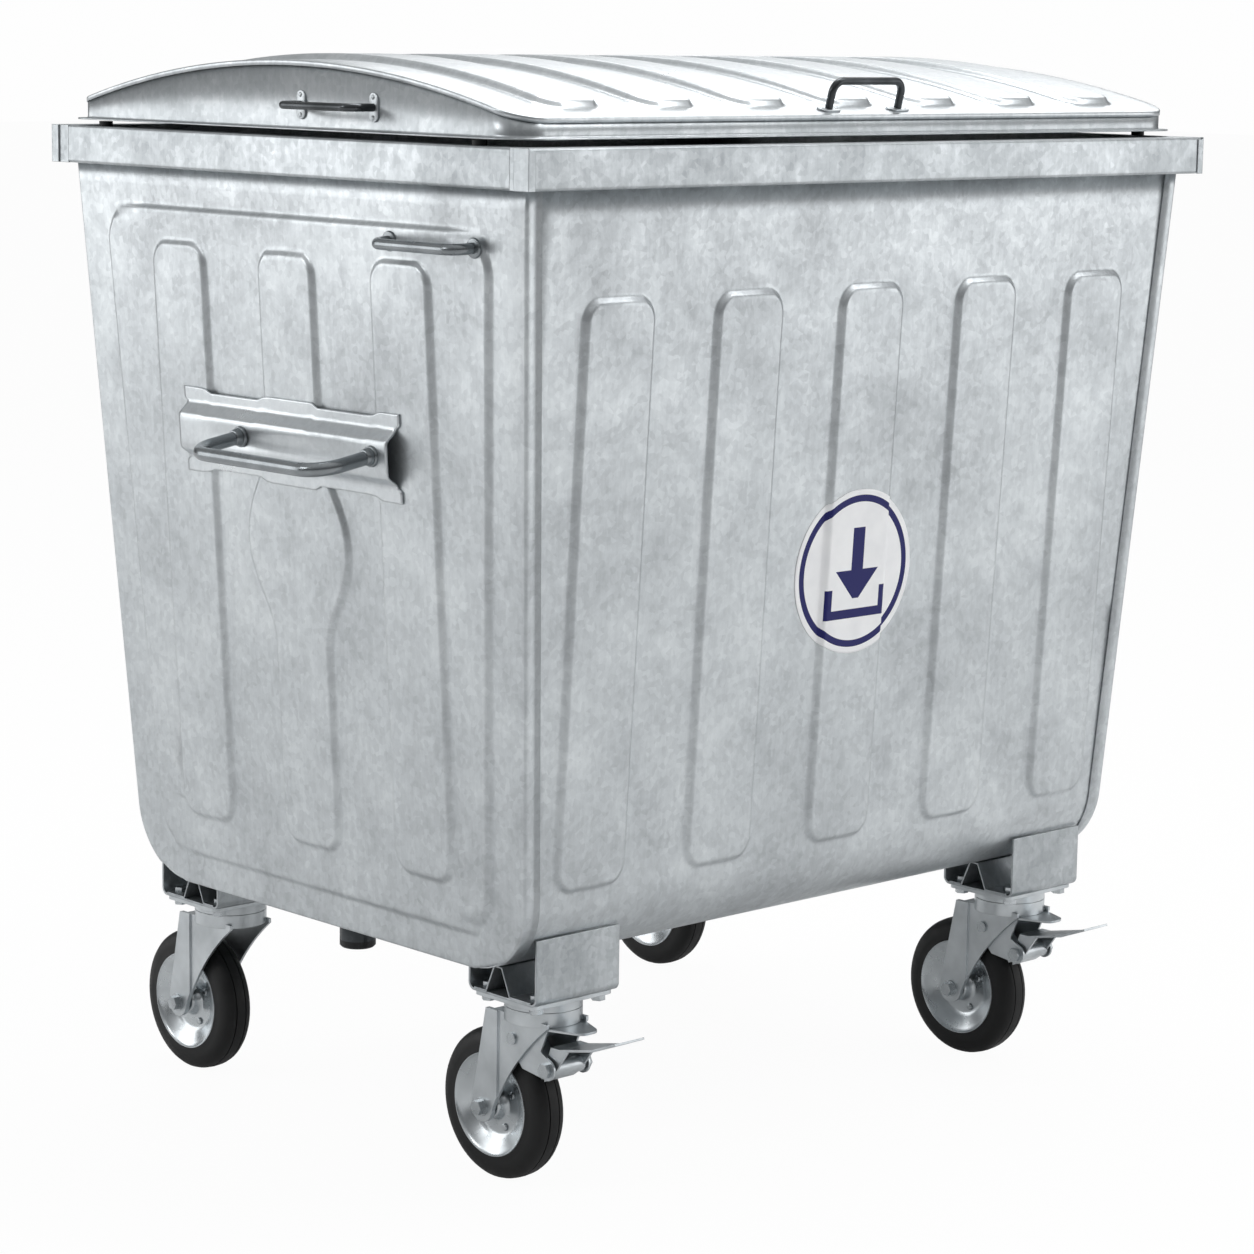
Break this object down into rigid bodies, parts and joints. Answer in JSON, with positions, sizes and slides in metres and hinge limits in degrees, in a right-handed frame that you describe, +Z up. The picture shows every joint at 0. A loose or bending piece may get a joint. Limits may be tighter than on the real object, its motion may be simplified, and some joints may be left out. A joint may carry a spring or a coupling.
{
  "type": "wheeled waste container",
  "caption": "Galvanised steel refuse container with ribbed tapering walls, a hinged ribbed barrel lid, side handles and braked swivel casters.",
  "frame": {"origin": "on the floor below the middle of the tub's rim, midway along its width", "axes": "+Z up, +X to the right along the front face, -Y towards the front, where the brake pedals are"},
  "size_m": [1.4148, 0.9926, 1.4299],
  "materials": {
    "galvanised_sheet": "hot-dip galvanised, satin with faint spangle",
    "galvanised_lid": "hot-dip galvanised, satin",
    "galvanised_section": "hot-dip galvanised, satin, a little run",
    "zinc_pressing": "bright zinc plated, smooth",
    "zinc_fastener": "zinc plated, polished",
    "dark_rod": "dark galvanised rod, satin",
    "tyre_rubber": "solid black rubber, matt",
    "pad_rubber": "black rubber",
    "drain_plastic": "black moulded plastic"
  },
  "bodies": {
    "tub": {"bracket_stiffeners": "galvanised_section", "caster_bolts": "zinc_fastener", "caster_bracket_front_left": "galvanised_section", "caster_bracket_front_right": "galvanised_section", "caster_bracket_rear_left": "galvanised_section", "caster_bracket_rear_right": "galvanised_section", "caster_top_plates": "zinc_pressing", "drain_spout": "dark_rod", "grab_handle_left": "galvanised_section", "grab_handle_right": "galvanised_section", "handle_plate_left": "galvanised_section", "handle_plate_right": "galvanised_section", "hinge_ears": "galvanised_section", "hinge_pins": "zinc_fastener", "kingpins": "zinc_fastener", "lid_rest_pads": "pad_rubber", "push_handle_left": "galvanised_section", "push_handle_right": "galvanised_section", "rim_corner_caps": "galvanised_section", "rim_front": "galvanised_section", "rim_left": "galvanised_section", "rim_rear": "galvanised_section", "rim_right": "galvanised_section", "side_panel_left": "galvanised_sheet", "side_panel_right": "galvanised_sheet", "wrap_sheet": "galvanised_sheet"},
    "lid": {"lid_frame": "galvanised_lid", "lid_handle_front": "dark_rod", "lid_handles_side": "dark_rod", "lid_lugs": "galvanised_lid", "lid_sheet": "galvanised_lid"},
    "drain_plug": {"drain_plug": "drain_plastic"},
    "pedal_front_left": {"brake_pedal_left": "zinc_pressing"},
    "shoe_front_left": {"brake_shoe_left": "zinc_pressing"},
    "swivel_front_left": {"fork_front_left": "zinc_pressing", "axle_bolt_front_left": "zinc_fastener", "brake_housing_left": "zinc_pressing", "brake_pins_left": "zinc_fastener"},
    "wheel_front_left": {"wheel_rim_front_left": "zinc_pressing", "tyre_front_left": "tyre_rubber", "bearing_front_left": "zinc_fastener"},
    "pedal_front_right": {"brake_pedal_right": "zinc_pressing"},
    "shoe_front_right": {"brake_shoe_right": "zinc_pressing"},
    "swivel_front_right": {"fork_front_right": "zinc_pressing", "axle_bolt_front_right": "zinc_fastener", "brake_housing_right": "zinc_pressing", "brake_pins_right": "zinc_fastener"},
    "wheel_front_right": {"wheel_rim_front_right": "zinc_pressing", "tyre_front_right": "tyre_rubber", "bearing_front_right": "zinc_fastener"},
    "swivel_rear_left": {"fork_rear_left": "zinc_pressing", "axle_bolt_rear_left": "zinc_fastener"},
    "wheel_rear_left": {"wheel_rim_rear_left": "zinc_pressing", "tyre_rear_left": "tyre_rubber", "bearing_rear_left": "zinc_fastener"},
    "swivel_rear_right": {"fork_rear_right": "zinc_pressing", "axle_bolt_rear_right": "zinc_fastener"},
    "wheel_rear_right": {"wheel_rim_rear_right": "zinc_pressing", "tyre_rear_right": "tyre_rubber", "bearing_rear_right": "zinc_fastener"}
  },
  "joints": [
    {"name": "lid_hinge", "type": "hinge", "parent": "tub", "child": "lid", "pos_m": [0, 0.49, 1.352], "axis": [-1, 0, 0], "range_deg": [0, 105]},
    {"name": "drain_plug_pull", "type": "slide", "parent": "tub", "child": "drain_plug", "axis": [0, 0, -1], "range_m": [0, 0.06]},
    {"name": "swivel_front_left", "type": "hinge", "parent": "tub", "child": "swivel_front_left", "pos_m": [-0.448, -0.3285, 0.24], "axis": [0, 0, 1], "continuous": true},
    {"name": "wheel_front_left", "type": "hinge", "parent": "swivel_front_left", "child": "wheel_front_left", "pos_m": [-0.448, -0.2535, 0.1], "axis": [1, 0, 0], "continuous": true},
    {"name": "brake_pedal_front_left", "type": "hinge", "parent": "swivel_front_left", "child": "pedal_front_left", "pos_m": [-0.448, -0.3705, 0.173], "axis": [1, 0, 0], "range_deg": [0, 18]},
    {"name": "brake_shoe_front_left", "type": "hinge", "parent": "swivel_front_left", "child": "shoe_front_left", "pos_m": [-0.448, -0.3095, 0.202], "axis": [1, 0, 0], "range_deg": [0, 5.4]},
    {"name": "swivel_front_right", "type": "hinge", "parent": "tub", "child": "swivel_front_right", "pos_m": [0.448, -0.3285, 0.24], "axis": [0, 0, 1], "continuous": true},
    {"name": "wheel_front_right", "type": "hinge", "parent": "swivel_front_right", "child": "wheel_front_right", "pos_m": [0.448, -0.2535, 0.1], "axis": [1, 0, 0], "continuous": true},
    {"name": "brake_pedal_front_right", "type": "hinge", "parent": "swivel_front_right", "child": "pedal_front_right", "pos_m": [0.448, -0.3705, 0.173], "axis": [1, 0, 0], "range_deg": [0, 18]},
    {"name": "brake_shoe_front_right", "type": "hinge", "parent": "swivel_front_right", "child": "shoe_front_right", "pos_m": [0.448, -0.3095, 0.202], "axis": [1, 0, 0], "range_deg": [0, 5.4]},
    {"name": "swivel_rear_left", "type": "hinge", "parent": "tub", "child": "swivel_rear_left", "pos_m": [-0.448, 0.3285, 0.24], "axis": [0, 0, 1], "continuous": true},
    {"name": "wheel_rear_left", "type": "hinge", "parent": "swivel_rear_left", "child": "wheel_rear_left", "pos_m": [-0.448, 0.4035, 0.1], "axis": [1, 0, 0], "continuous": true},
    {"name": "swivel_rear_right", "type": "hinge", "parent": "tub", "child": "swivel_rear_right", "pos_m": [0.448, 0.3285, 0.24], "axis": [0, 0, 1], "continuous": true},
    {"name": "wheel_rear_right", "type": "hinge", "parent": "swivel_rear_right", "child": "wheel_rear_right", "pos_m": [0.448, 0.4035, 0.1], "axis": [1, 0, 0], "continuous": true}
  ],
  "couplings": [
    {"joint": "brake_shoe_front_left", "follows": "brake_pedal_front_left", "ratio": 0.3},
    {"joint": "brake_shoe_front_right", "follows": "brake_pedal_front_right", "ratio": 0.3}
  ]
}
